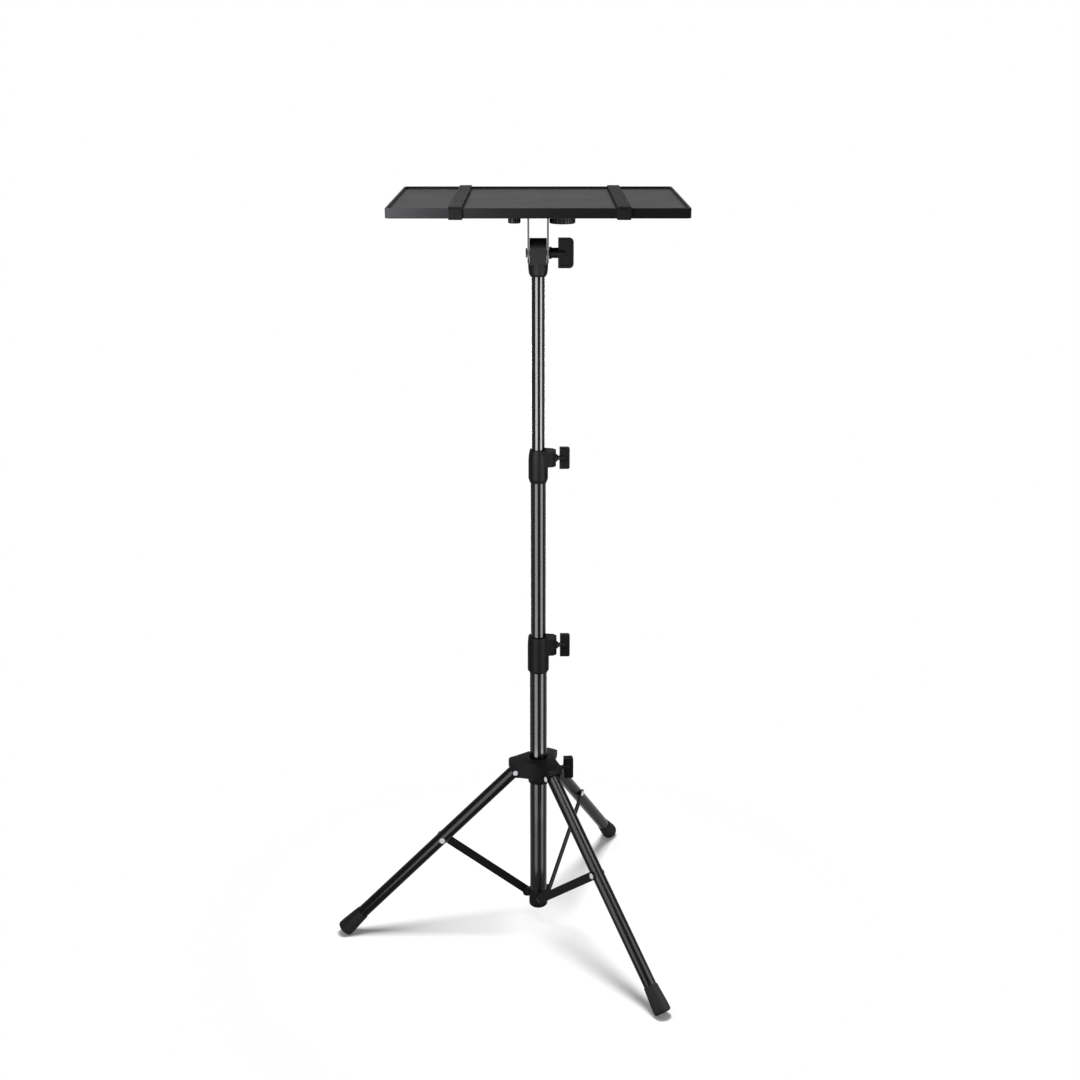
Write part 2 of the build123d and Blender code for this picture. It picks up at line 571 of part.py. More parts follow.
long_rib = Box(inside_width, TRAY_RIB, floor_bottom, align=UPRIGHT)
cross_rib = Box(TRAY_RIB, inside_depth, floor_bottom, align=UPRIGHT)
hollow -= GridLocations(0, inside_depth / (TRAY_RIB_ROWS + 1), 1, TRAY_RIB_ROWS) * long_rib
hollow -= GridLocations(inside_width / (TRAY_RIB_COLUMNS + 1), 0, TRAY_RIB_COLUMNS, 1) * cross_rib
tray -= hollow
nodes["tray"] = Pos(0, 0, tray_z) * tray

# Straps: closed loops of webbing round the tray, tight over the lip and under the skirt
loop_depth = TRAY_DEPTH + 2 * STRAP_CLEARANCE
loop_height = TRAY_HEIGHT + 2 * STRAP_CLEARANCE
strap_bend = TRAY_EDGE + STRAP_CLEARANCE
strap_outside = RectangleRounded(
    loop_depth + 2 * STRAP_THICKNESS, loop_height + 2 * STRAP_THICKNESS, strap_bend + STRAP_THICKNESS
)
strap_face = strap_outside - RectangleRounded(loop_depth, loop_height, strap_bend)
strap = extrude(Plane.YZ * strap_face, amount=STRAP_WIDTH / 2, both=True)
for name, place in (("left_strap", LEFT_STRAP_PLACE), ("right_strap", RIGHT_STRAP_PLACE)):
    nodes[name] = Pos(place, 0, tray_z + TRAY_HEIGHT / 2) * strap

# The frame's origin is on the floor, under the middle of the whole outline
outline = Compound(list(nodes.values())).bounding_box()
to_origin = Pos(-outline.center().X, -outline.center().Y, 0)

os.makedirs("parts", exist_ok=True)
for name, solid in nodes.items():
    export_step(to_origin * solid, f"parts/{name}.step")

print("mast axis at", [round(-outline.center().X, 3), round(-outline.center().Y, 3)])
for label, height in {
    "hub pivot": pivot_z,
    "collar pivot": collar_pivot_z,
    "tilt axis": tilt_z,
    "tray floor": tray_z + floor_top,
}.items():
    print(label, "z", round(height, 3))
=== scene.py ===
import json
import math

import bmesh
import bpy
from mathutils import Matrix, Vector


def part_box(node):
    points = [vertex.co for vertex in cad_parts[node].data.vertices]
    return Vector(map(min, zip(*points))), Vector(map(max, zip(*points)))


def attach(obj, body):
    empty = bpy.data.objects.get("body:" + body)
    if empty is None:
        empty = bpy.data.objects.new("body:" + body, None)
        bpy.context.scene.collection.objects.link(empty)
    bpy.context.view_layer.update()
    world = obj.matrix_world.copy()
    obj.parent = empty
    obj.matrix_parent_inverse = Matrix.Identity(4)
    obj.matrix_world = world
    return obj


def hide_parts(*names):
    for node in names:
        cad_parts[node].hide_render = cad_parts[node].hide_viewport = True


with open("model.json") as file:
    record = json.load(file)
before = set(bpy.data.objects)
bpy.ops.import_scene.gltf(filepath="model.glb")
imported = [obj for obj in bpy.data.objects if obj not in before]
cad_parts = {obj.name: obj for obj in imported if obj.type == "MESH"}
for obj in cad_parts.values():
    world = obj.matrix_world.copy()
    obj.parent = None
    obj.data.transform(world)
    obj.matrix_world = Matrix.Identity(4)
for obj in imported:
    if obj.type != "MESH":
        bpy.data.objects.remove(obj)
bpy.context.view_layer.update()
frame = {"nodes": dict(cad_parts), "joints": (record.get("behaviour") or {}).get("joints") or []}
nodes = frame["nodes"]
joints = {joint["name"]: joint for joint in frame["joints"]}


# Mast: three steel tubes that slide in each other, each with a thin gloss black coat.
# The coat is sprayed and baked, so it has a faint orange peel and fine rubs along the slide.
def socket(group, name, direction, kind="NodeSocketFloat", value=None):
    """Adds one named socket to a node group."""
    made = group.interface.new_socket(name, in_out=direction, socket_type=kind)
    if value is not None:
        made.default_value = value
    return made


def add(tree, kind, **settings):
    """Adds a node to a tree; a setting is an attribute, or else the value of an input."""
    node = tree.nodes.new(kind)
    for name, value in settings.items():
        if hasattr(node, name):
            setattr(node, name, value)
        else:
            node.inputs[name.replace("_", " ")].default_value = value
    return node


def tone_drift_group():
    """Slow change of colour and gloss over a surface, as a coat or a moulding has."""
    group = bpy.data.node_groups.new("tone_drift", "ShaderNodeTree")
    socket(group, "Scale", "INPUT", value=40.0)
    socket(group, "Stretch", "INPUT", "NodeSocketVector", (1.0, 1.0, 1.0))
    socket(group, "Dark", "INPUT", "NodeSocketColor", (0.01, 0.01, 0.01, 1.0))
    socket(group, "Light", "INPUT", "NodeSocketColor", (0.02, 0.02, 0.02, 1.0))
    socket(group, "Smooth", "INPUT", value=0.2)
    socket(group, "Dull", "INPUT", value=0.3)
    socket(group, "Color", "OUTPUT", "NodeSocketColor")
    socket(group, "Roughness", "OUTPUT")
    given = add(group, "NodeGroupInput")
    place = add(group, "ShaderNodeTexCoord")
    stretch = add(group, "ShaderNodeMapping")
    noise = add(group, "ShaderNodeTexNoise", Detail=4.0, Roughness=0.6)
    colour = add(group, "ShaderNodeMix", data_type="RGBA")
    gloss = add(group, "ShaderNodeMapRange")
    out = add(group, "NodeGroupOutput")
    link = group.links.new
    link(place.outputs["Object"], stretch.inputs["Vector"])
    link(given.outputs["Stretch"], stretch.inputs["Scale"])
    link(stretch.outputs["Vector"], noise.inputs["Vector"])
    link(given.outputs["Scale"], noise.inputs["Scale"])
    link(noise.outputs["Fac"], colour.inputs["Factor"])
    link(given.outputs["Dark"], colour.inputs["A"])
    link(given.outputs["Light"], colour.inputs["B"])
    link(noise.outputs["Fac"], gloss.inputs["Value"])
    link(given.outputs["Smooth"], gloss.inputs["To Min"])
    link(given.outputs["Dull"], gloss.inputs["To Max"])
    link(colour.outputs["Result"], out.inputs["Color"])
    link(gloss.outputs["Result"], out.inputs["Roughness"])
    return group


def fine_grain_group():
    """Small relief of a coat or of a mould's etched wall, as a normal."""
    group = bpy.data.node_groups.new("fine_grain", "ShaderNodeTree")
    socket(group, "Scale", "INPUT", value=800.0)
    socket(group, "Strength", "INPUT", value=0.1)
    socket(group, "Depth", "INPUT", value=0.0001)
    socket(group, "Normal", "OUTPUT", "NodeSocketVector")
    given = add(group, "NodeGroupInput")
    place = add(group, "ShaderNodeTexCoord")
    noise = add(group, "ShaderNodeTexNoise", Detail=2.0, Roughness=0.5)
    bump = add(group, "ShaderNodeBump")
    out = add(group, "NodeGroupOutput")
    link = group.links.new
    link(place.outputs["Object"], noise.inputs["Vector"])
    link(given.outputs["Scale"], noise.inputs["Scale"])
    link(noise.outputs["Fac"], bump.inputs["Height"])
    link(given.outputs["Strength"], bump.inputs["Strength"])
    link(given.outputs["Depth"], bump.inputs["Distance"])
    link(bump.outputs["Normal"], out.inputs["Normal"])
    return group


tone_drift = tone_drift_group()
fine_grain = fine_grain_group()


COOL_TINT = 1.06
GRAIN_STRENGTH = 0.35


def grey(level):
    """A neutral colour of one level, a touch cool as black plastics and paints are."""
    return (level, level, level * COOL_TINT, 1.0)


def finish_material(name, dark, light, smooth, dull, drift_scale, grain_scale, grain_depth,
                    stretch=(1.0, 1.0, 1.0), **shader_values):
    """A coat or moulding: drifting tone and gloss, fine grain, and constant shader values."""
    material = bpy.data.materials.new(name)
    material.use_nodes = True
    tree = material.node_tree
    shader = tree.nodes["Principled BSDF"]
    for socket_name, value in shader_values.items():
        shader.inputs[socket_name.replace("_", " ")].default_value = value
    drift = add(tree, "ShaderNodeGroup", node_tree=tone_drift, Scale=drift_scale)
    drift.inputs["Stretch"].default_value = stretch
    drift.inputs["Dark"].default_value = grey(dark)
    drift.inputs["Light"].default_value = grey(light)
    drift.inputs["Smooth"].default_value = smooth
    drift.inputs["Dull"].default_value = dull
    grain = add(tree, "ShaderNodeGroup", node_tree=fine_grain, Scale=grain_scale, Depth=grain_depth)
    grain.inputs["Strength"].default_value = GRAIN_STRENGTH
    tree.links.new(drift.outputs["Color"], shader.inputs["Base Color"])
    tree.links.new(drift.outputs["Roughness"], shader.inputs["Roughness"])
    tree.links.new(grain.outputs["Normal"], shader.inputs["Normal"])
    return material


def dress(material, *names):
    """Gives CAD nodes their material."""
    for name in names:
        slots = nodes[name].data.materials
        slots.clear()
        slots.append(material)


tube_paint = finish_material(
    "tube_paint", dark=0.002, light=0.004, smooth=0.10, dull=0.16, drift_scale=300.0,
    grain_scale=700.0, grain_depth=0.000002, stretch=(1.0, 1.0, 0.03), Specular_IOR_Level=0.15,
)
dress(tube_paint, "lower_tube", "middle_tube", "upper_tube")


# Collar: a moulded plug driven on the foot of the lower tube, with three lugs for the braces.
# The same satin black plastic makes the clamps, the hub and the tilt head.
moulded_plastic = finish_material(
    "moulded_plastic", dark=0.005, light=0.009, smooth=0.42, dull=0.54, drift_scale=60.0,
    grain_scale=2400.0, grain_depth=0.00003, Specular_IOR_Level=0.02,
)
dress(moulded_plastic, "bottom_collar")


# Hub: one moulding that slides on the lower tube, with a forked arm for each leg.
# Its arms meet in smooth webs, and a boss at one side takes the thumb screw.
dress(moulded_plastic, "hub")


# Legs: three steel tubes, coated as the mast is but satin, pinned in the hub's forks.
# Each ends in a rubber foot that is pushed on and rounded at its rim.
SIDES = ("left", "front", "rear")
leg_paint = finish_material(
    "leg_paint", dark=0.002, light=0.005, smooth=0.20, dull=0.30, drift_scale=120.0,
    grain_scale=900.0, grain_depth=0.000004, Specular_IOR_Level=0.06,
)
foot_rubber = finish_material(
    "foot_rubber", dark=0.011, light=0.019, smooth=0.58, dull=0.75, drift_scale=90.0,
    grain_scale=1500.0, grain_depth=0.00008, Specular_IOR_Level=0.04,
)
dress(leg_paint, *[f"leg_{side}" for side in SIDES])
dress(foot_rubber, *[f"foot_{side}" for side in SIDES])


# Braces: flat steel bars with round ends, painted black, one beside each leg.
# They hold the legs open against the collar.
brace_steel = finish_material(
    "brace_steel", dark=0.004, light=0.009, smooth=0.32, dull=0.48, drift_scale=150.0,
    grain_scale=1100.0, grain_depth=0.00001, Specular_IOR_Level=0.03,
)
dress(brace_steel, *[f"brace_{side}" for side in SIDES])


# Rivets: bright zinc-plated steel, headed over at both ends of the hub's forks and through the legs.
# Those of the collar are blackened, as the screws and the tilt bolt are.
rivet_steel = finish_material(
    "rivet_steel", dark=0.48, light=0.66, smooth=0.24, dull=0.40, drift_scale=900.0,
    grain_scale=1600.0, grain_depth=0.00003, Metallic=1.0,
)
screw_steel = finish_material(
    "screw_steel", dark=0.010, light=0.022, smooth=0.30, dull=0.44, drift_scale=700.0,
    grain_scale=1600.0, grain_depth=0.00001, Metallic=1.0,
)
for place in ("hub_rivet", "leg_rivet", "brace_rivet"):
    dress(rivet_steel, *[f"{place}_{side}" for side in SIDES])
dress(screw_steel, *[f"collar_rivet_{side}" for side in SIDES])


# Clamps: a moulded collar on the top of the lower and of the middle tube.
# Each grips its tube from outside and has a lug that carries a thumb screw.
dress(moulded_plastic, "lower_clamp", "upper_clamp")


# Thumb screws: blackened steel screws with a rolled thread, one in the hub and one in each clamp.
# The thread shows between the lug and the grip that is moulded on the screw's end.
THREAD_PITCH = 0.001
THREAD_DEPTH = 0.00055
THREAD_CORE_SIDES = 32
THREAD_STEPS_PER_TURN = 24
THREAD_RIDGE_SIDES = 6


def thread_tree():
    """A round core with a ridge wound round it, along X from the origin."""
    tree = bpy.data.node_groups.new("rolled_thread", "GeometryNodeTree")
    socket(tree, "Geometry", "INPUT", "NodeSocketGeometry")
    for name in ("Radius", "Length", "Pitch", "Depth"):
        socket(tree, name, "INPUT")
    socket(tree, "Material", "INPUT", "NodeSocketMaterial")
    socket(tree, "Geometry", "OUTPUT", "NodeSocketGeometry")
    given = add(tree, "NodeGroupInput")
    turns = add(tree, "ShaderNodeMath", operation="DIVIDE")
    root = add(tree, "ShaderNodeMath", operation="SUBTRACT")
    half = add(tree, "ShaderNodeMath", operation="MULTIPLY")
    half.inputs[1].default_value = 0.5
    lift = add(tree, "ShaderNodeCombineXYZ")
    core = add(tree, "GeometryNodeMeshCylinder", fill_type="NGON")
    core.inputs["Vertices"].default_value = THREAD_CORE_SIDES
    core_place = add(tree, "GeometryNodeTransform")
    spiral = add(tree, "GeometryNodeCurveSpiral")
    spiral.inputs["Resolution"].default_value = THREAD_STEPS_PER_TURN
    ridge = add(tree, "GeometryNodeCurvePrimitiveCircle")
    ridge.inputs["Resolution"].default_value = THREAD_RIDGE_SIDES
    swept = add(tree, "GeometryNodeCurveToMesh")
    swept.inputs["Fill Caps"].default_value = True
    joined = add(tree, "GeometryNodeJoinGeometry")
    along_x = add(tree, "GeometryNodeTransform")
    along_x.inputs["Rotation"].default_value = (0.0, math.radians(90.0), 0.0)
    real = add(tree, "GeometryNodeRealizeInstances")
    paint = add(tree, "GeometryNodeSetMaterial")
    out = add(tree, "NodeGroupOutput")
    link = tree.links.new
    link(given.outputs["Length"], turns.inputs[0])
    link(given.outputs["Pitch"], turns.inputs[1])
    link(given.outputs["Radius"], root.inputs[0])
    link(given.outputs["Depth"], root.inputs[1])
    link(given.outputs["Length"], half.inputs[0])
    link(half.outputs[0], lift.inputs["Z"])
    link(root.outputs[0], core.inputs["Radius"])
    link(given.outputs["Length"], core.inputs["Depth"])
    link(core.outputs["Mesh"], core_place.inputs["Geometry"])
    link(lift.outputs["Vector"], core_place.inputs["Translation"])
    link(turns.outputs[0], spiral.inputs["Rotations"])
    link(root.outputs[0], spiral.inputs["Start Radius"])
    link(root.outputs[0], spiral.inputs["End Radius"])
    link(given.outputs["Length"], spiral.inputs["Height"])
    link(given.outputs["Depth"], ridge.inputs["Radius"])
    link(spiral.outputs["Curve"], swept.inputs["Curve"])
    link(ridge.outputs["Curve"], swept.inputs["Profile Curve"])
    link(core_place.outputs["Geometry"], joined.inputs["Geometry"])
    link(swept.outputs["Mesh"], joined.inputs["Geometry"])
    link(joined.outputs["Geometry"], along_x.inputs["Geometry"])
    link(along_x.outputs["Geometry"], real.inputs["Geometry"])
    link(real.outputs["Geometry"], paint.inputs["Geometry"])
    link(given.outputs["Material"], paint.inputs["Material"])
    link(paint.outputs["Geometry"], out.inputs["Geometry"])
    return tree


def grown(name, tree, source, **values):
    """Runs a geometry tree on a mesh and returns its result as a plain mesh object."""
    holder = bpy.data.objects.new(name, source)
    bpy.context.scene.collection.objects.link(holder)
    modifier = holder.modifiers.new("grow", "NODES")
    modifier.node_group = tree
    inputs = {item.name: item.identifier for item in tree.interface.items_tree
              if item.in_out == "INPUT"}
    for input_name, value in values.items():
        modifier[inputs[input_name]] = value
    bpy.context.view_layer.update()
    depsgraph = bpy.context.evaluated_depsgraph_get()
    result = bpy.data.meshes.new_from_object(holder.evaluated_get(depsgraph))
    holder.modifiers.clear()
    holder.data = result
    return holder


rolled_thread = thread_tree()
for place in ("hub", "lower", "upper"):
    screw_node = nodes[f"{place}_screw"]
    turn = joints[f"{place}_screw_turn"]
    axis = Vector(turn["axis"])
    point = Vector(turn["pos_m"])
    reach = [(vertex.co - point).dot(axis) for vertex in screw_node.data.vertices]
    spread = [(vertex.co - point).cross(axis).length for vertex in screw_node.data.vertices]
    screw = grown(
        f"{place}_threaded_screw", rolled_thread, bpy.data.meshes.new(f"{place}_thread"),
        Radius=max(spread), Length=max(reach) - min(reach), Pitch=THREAD_PITCH,
        Depth=THREAD_DEPTH, Material=screw_steel,
    )
    turned = Vector((1.0, 0.0, 0.0)).rotation_difference(axis).to_matrix().to_4x4()
    screw.data.transform(Matrix.Translation(point + axis * min(reach)) @ turned)
    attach(screw, f"{place}_thumb_screw")
    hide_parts(f"{place}_screw")


# Grips: T-shaped paddles moulded on the thumb screws and on the tilt bolt.
# Satin black plastic, a little smoother than the clamps where hands have rubbed it.
grip_plastic = finish_material(
    "grip_plastic", dark=0.005, light=0.008, smooth=0.34, dull=0.46, drift_scale=80.0,
    grain_scale=2000.0, grain_depth=0.00002, Specular_IOR_Level=0.02,
)
dress(grip_plastic, "hub_knob", "lower_knob", "upper_knob", "tilt_knob")


# Tilt head: a moulded socket on the upper tube that rises into a tongue for the tilt bolt.
# The bolt is blackened steel, headed on the far side of the bracket.
dress(moulded_plastic, "tilt_head")
dress(screw_steel, "tilt_bolt")


# Bracket: a folded steel plate under the tray with two cheeks that straddle the head, painted grey.
# Two ribbed hand nuts of black plastic hold it to the tray.
bracket_steel = finish_material(
    "bracket_steel", dark=0.035, light=0.055, smooth=0.40, dull=0.52, drift_scale=200.0,
    grain_scale=1200.0, grain_depth=0.00001, Specular_IOR_Level=0.15,
)
dress(bracket_steel, "tilt_bracket")
dress(grip_plastic, "left_hand_nut", "right_hand_nut")


# Tray: a shallow charcoal moulding with a low lip, ribbed below.
# Its top is etched with a fine grain that keeps it from shining.
tray_plastic = finish_material(
    "tray_plastic", dark=0.014, light=0.024, smooth=0.42, dull=0.55, drift_scale=25.0,
    grain_scale=1300.0, grain_depth=0.00012, Specular_IOR_Level=0.04,
)
dress(tray_plastic, "tray")


# Straps: black woven webbing drawn tight round the tray, one each side.
# The end laps under the tray and is sewn down with a box of stitches.
STRAP_THICKNESS = 0.0014
STRAP_STEP = 0.002
STRAP_BEND = STRAP_THICKNESS
STRAP_BEND_STEPS = 6
STRAP_CORDS = 7
STRAP_CORD_HEIGHT = 0.00010
STRAP_ACROSS = 42
STRAP_LAP = 0.055
STRAP_LAP_START = 0.030
STRAP_LAP_GAP = 0.00015
STRAP_SETTLE = 0.010
SAME_PLACE = 1e-7
WEBBING_TONES = (0.007, 0.016)
WEBBING_ROUGHNESS = (0.72, 0.90)
WEFT_SCALE = 190.0
WARP_SCALE = 230.0
WEAVE_DEPTH = 0.00015
STITCH_PITCH = 0.0034
STITCH_LENGTH = 0.0027
STITCH_RADIUS = 0.00035
STITCH_INSET = 0.003


def webbing_material():
    """Woven webbing: lengthwise cords crossed by a fine weft, with a soft sheen."""
    material = bpy.data.materials.new("strap_webbing")
    material.use_nodes = True
    tree = material.node_tree
    shader = tree.nodes["Principled BSDF"]
    shader.inputs["Sheen Weight"].default_value = 0.05
    shader.inputs["Sheen Roughness"].default_value = 0.5
    shader.inputs["Specular IOR Level"].default_value = 0.03
    place = add(tree, "ShaderNodeUVMap", uv_map="webbing")
    weft = add(tree, "ShaderNodeTexWave", wave_type="BANDS", bands_direction="Y", Scale=WEFT_SCALE,
               Distortion=0.6, Detail=1.0, Detail_Scale=2.0)
    warp = add(tree, "ShaderNodeTexWave", wave_type="BANDS", bands_direction="X", Scale=WARP_SCALE)
    weave = add(tree, "ShaderNodeMath", operation="MULTIPLY")
    drift = add(tree, "ShaderNodeGroup", node_tree=tone_drift, Scale=140.0)
    for socket_name, tone in zip(("Dark", "Light"), WEBBING_TONES):
        drift.inputs[socket_name].default_value = grey(tone)
    for socket_name, roughness in zip(("Smooth", "Dull"), WEBBING_ROUGHNESS):
        drift.inputs[socket_name].default_value = roughness
    bump = add(tree, "ShaderNodeBump", Strength=0.6, Distance=WEAVE_DEPTH)
    link = tree.links.new
    link(place.outputs["UV"], weft.inputs["Vector"])
    link(place.outputs["UV"], warp.inputs["Vector"])
    link(weft.outputs["Fac"], weave.inputs[0])
    link(warp.outputs["Fac"], weave.inputs[1])
    link(weave.outputs[0], bump.inputs["Height"])
    link(drift.outputs["Color"], shader.inputs["Base Color"])
    link(drift.outputs["Roughness"], shader.inputs["Roughness"])
    link(bump.outputs["Normal"], shader.inputs["Normal"])
    return material


def band_path(low, high):
    """Middle line of a strap as (place, outward normal) pairs, from under the tray round and back."""
    half = STRAP_THICKNESS / 2
    y_low, y_high = low.y + half, high.y - half
    z_low, z_high = low.z + half, high.z - half
    lap_start = (low.y + high.y) / 2 + STRAP_LAP_START
    corners = [
        Vector((lap_start, z_low)), Vector((y_low, z_low)), Vector((y_low, z_high)),
        Vector((y_high, z_high)), Vector((y_high, z_low)), Vector((lap_start - STRAP_LAP, z_low)),
    ]
    final = len(corners) - 2
    steps = []
    for index in range(final + 1):
        start, end = corners[index], corners[index + 1]
        run = (end - start).normalized()
        outward = Vector((run.y, -run.x))
        first = start + run * (STRAP_BEND if index > 0 else 0.0)
        last = end - run * (STRAP_BEND if index < final else 0.0)
        count = max(2, round((last - first).length / STRAP_STEP))
        for step in range(count + 1):
            steps.append((first.lerp(last, step / count), outward))
        if index < final:
            turn_to = (corners[index + 2] - end).normalized()
            centre = last + turn_to * STRAP_BEND
            for step in range(1, STRAP_BEND_STEPS):
                angle = math.radians(90.0) * step / STRAP_BEND_STEPS
                spoke = run * math.sin(angle) - turn_to * math.cos(angle)
                steps.append((centre + spoke * STRAP_BEND, spoke))
    return steps


def band_section(width):
    """Cross-section of a strap as (across, height) pairs: rounded edges and a ridge for each cord."""
    edge = STRAP_THICKNESS / 2
    ring = []
    for side in (1.0, -1.0):
        for step in range(STRAP_ACROSS + 1):
            across = side * (step / STRAP_ACROSS - 0.5) * width
            inset = max(0.0, abs(across) - (width / 2 - edge))
            height = math.sqrt(max(0.0, edge**2 - inset**2))
            cords = 0.5 - 0.5 * math.cos(2 * math.pi * STRAP_CORDS * (across / width + 0.5))
            height -= STRAP_CORD_HEIGHT * (1.0 - cords) * (height / edge)
            ring.append((across, side * height))
    return [place for index, place in enumerate(ring)
            if index == 0 or (Vector(place) - Vector(ring[index - 1])).length > SAME_PLACE]


def strap_piece(name, node):
    """One strap: its section swept along its path, with the end lapped under the start."""
    low, high = (Vector(corner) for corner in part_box(node))
    width = high.x - low.x
    middle = (low.x + high.x) / 2
    ring = band_section(width)
    steps = band_path(low, high)
    lengths = [0.0]
    for (here, _), (there, _) in zip(steps, steps[1:]):
        lengths.append(lengths[-1] + (there - here).length)
    total = lengths[-1]
    lap_begins = total - STRAP_LAP
    mesh = bmesh.new()
    uv = mesh.loops.layers.uv.new("webbing")
    rows = []
    for (place, outward), length in zip(steps, lengths):
        settle = min(1.0, max(0.0, (length - lap_begins + STRAP_SETTLE) / STRAP_SETTLE))
        drop = (STRAP_THICKNESS + STRAP_LAP_GAP) * settle * settle * (3.0 - 2.0 * settle)
        row = []
        for across, height in ring:
            flat = place + outward * (height + drop)
            row.append(mesh.verts.new((middle + across, flat.x, flat.y)))
        rows.append(row)
    count = len(ring)
    for index in range(len(rows) - 1):
        for step in range(count):
            after = (step + 1) % count
            spots = ((step, index), (after, index), (after, index + 1), (step, index + 1))
            face = mesh.faces.new([rows[row_index][column] for column, row_index in spots])
            for loop, (column, row_index) in zip(face.loops, spots):
                loop[uv].uv = (ring[column][0], lengths[row_index])
    mesh.faces.new(rows[0])
    mesh.faces.new(list(reversed(rows[-1])))
    bmesh.ops.recalc_face_normals(mesh, faces=mesh.faces)
    data = bpy.data.meshes.new(name)
    mesh.to_mesh(data)
    mesh.free()
    data.shade_smooth()
    data.materials.append(strap_webbing)
    piece = bpy.data.objects.new(name, data)
    bpy.context.scene.collection.objects.link(piece)
    return piece, width, total


def stitch_tree():
    """Short threads set one after the other along each edge of a mesh."""
    tree = bpy.data.node_groups.new("sewn_line", "GeometryNodeTree")
    socket(tree, "Geometry", "INPUT", "NodeSocketGeometry")
    for name in ("Pitch", "Length", "Radius"):
        socket(tree, name, "INPUT")
    socket(tree, "Material", "INPUT", "NodeSocketMaterial")
    socket(tree, "Geometry", "OUTPUT", "NodeSocketGeometry")
    given = add(tree, "NodeGroupInput")
    seam = add(tree, "GeometryNodeMeshToCurve")
    spots = add(tree, "GeometryNodeCurveToPoints", mode="LENGTH")
    along = add(tree, "FunctionNodeAlignRotationToVector", axis="Z")
    half = add(tree, "ShaderNodeMath", operation="MULTIPLY")
    half.inputs[1].default_value = 0.5
    girth = add(tree, "ShaderNodeCombineXYZ")
    thread = add(tree, "GeometryNodeMeshUVSphere", Segments=8, Rings=6, Radius=1.0)
    laid = add(tree, "GeometryNodeInstanceOnPoints")
    real = add(tree, "GeometryNodeRealizeInstances")
    paint = add(tree, "GeometryNodeSetMaterial")
    out = add(tree, "NodeGroupOutput")
    link = tree.links.new
    link(given.outputs["Geometry"], seam.inputs["Mesh"])
    link(seam.outputs["Curve"], spots.inputs["Curve"])
    link(given.outputs["Pitch"], spots.inputs["Length"])
    link(spots.outputs["Tangent"], along.inputs["Vector"])
    link(given.outputs["Length"], half.inputs[0])
    link(given.outputs["Radius"], girth.inputs["X"])
    link(given.outputs["Radius"], girth.inputs["Y"])
    link(half.outputs[0], girth.inputs["Z"])
    link(spots.outputs["Points"], laid.inputs["Points"])
    link(thread.outputs["Mesh"], laid.inputs["Instance"])
    link(along.outputs["Rotation"], laid.inputs["Rotation"])
    link(girth.outputs["Vector"], laid.inputs["Scale"])
    link(laid.outputs["Instances"], real.inputs["Geometry"])
    link(real.outputs["Geometry"], paint.inputs["Geometry"])
    link(given.outputs["Material"], paint.inputs["Material"])
    link(paint.outputs["Geometry"], out.inputs["Geometry"])
    return tree


def seam_lines(node):
    """The sewn box and its two diagonals, as edges on the lower face of a strap's lap."""
    low, high = (Vector(corner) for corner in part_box(node))
    x_low, x_high = low.x + STITCH_INSET, high.x - STITCH_INSET
    y_high = (low.y + high.y) / 2 + STRAP_LAP_START - STITCH_INSET
    y_low = y_high + 2 * STITCH_INSET - STRAP_LAP
    z = low.z - STRAP_THICKNESS - STRAP_LAP_GAP
    corners = [(x_low, y_low, z), (x_high, y_low, z), (x_high, y_high, z), (x_low, y_high, z)]
    box = [(0, 1), (1, 2), (2, 3), (3, 0)]
    diagonals = [(0, 2), (1, 3)]
    lines = bpy.data.meshes.new(f"{node}_seam")
    lines.from_pydata(corners, box + diagonals, [])
    return lines


strap_webbing = webbing_material()
strap_thread = finish_material(
    "strap_thread", dark=0.012, light=0.022, smooth=0.60, dull=0.75, drift_scale=900.0,
    grain_scale=3000.0, grain_depth=0.00003, Specular_IOR_Level=0.15,
)
sewn_line = stitch_tree()
for place in ("left", "right"):
    strap, strap_width, strap_length = strap_piece(f"{place}_strap_webbing", f"{place}_strap")
    stitches = grown(
        f"{place}_strap_stitches", sewn_line, seam_lines(f"{place}_strap"), Pitch=STITCH_PITCH,
        Length=STITCH_LENGTH, Radius=STITCH_RADIUS, Material=strap_thread,
    )
    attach(strap, "tray")
    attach(stitches, "tray")
    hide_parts(f"{place}_strap")


# Studio: a pale floor that runs on into a white surround, and one broad soft lamp overhead.
# Tall reflector strips stand round the mast and draw the bright lines on the gloss tubes.
# A lamp high over the mast lays the soft shadows of the legs on the floor.
MAST = Vector((joints["head_swivel"]["pos_m"][0], joints["head_swivel"]["pos_m"][1], 0.0))
FLOOR_HALF = 8.0
FLOOR_COLOUR = 0.8
FLOOR_FADE = (0.20, 0.48)
SURROUND_LIGHT = 0.30


def light_path_mask(tree):
    """1 where a camera, mirror or see-through ray looks, 0 where a surface gathers light."""
    path = add(tree, "ShaderNodeLightPath")
    first = add(tree, "ShaderNodeMath", operation="MAXIMUM")
    both = add(tree, "ShaderNodeMath", operation="MAXIMUM")
    tree.links.new(path.outputs["Is Camera Ray"], first.inputs[0])
    tree.links.new(path.outputs["Is Glossy Ray"], first.inputs[1])
    tree.links.new(first.outputs[0], both.inputs[0])
    tree.links.new(path.outputs["Is Transmission Ray"], both.inputs[1])
    return both.outputs[0]


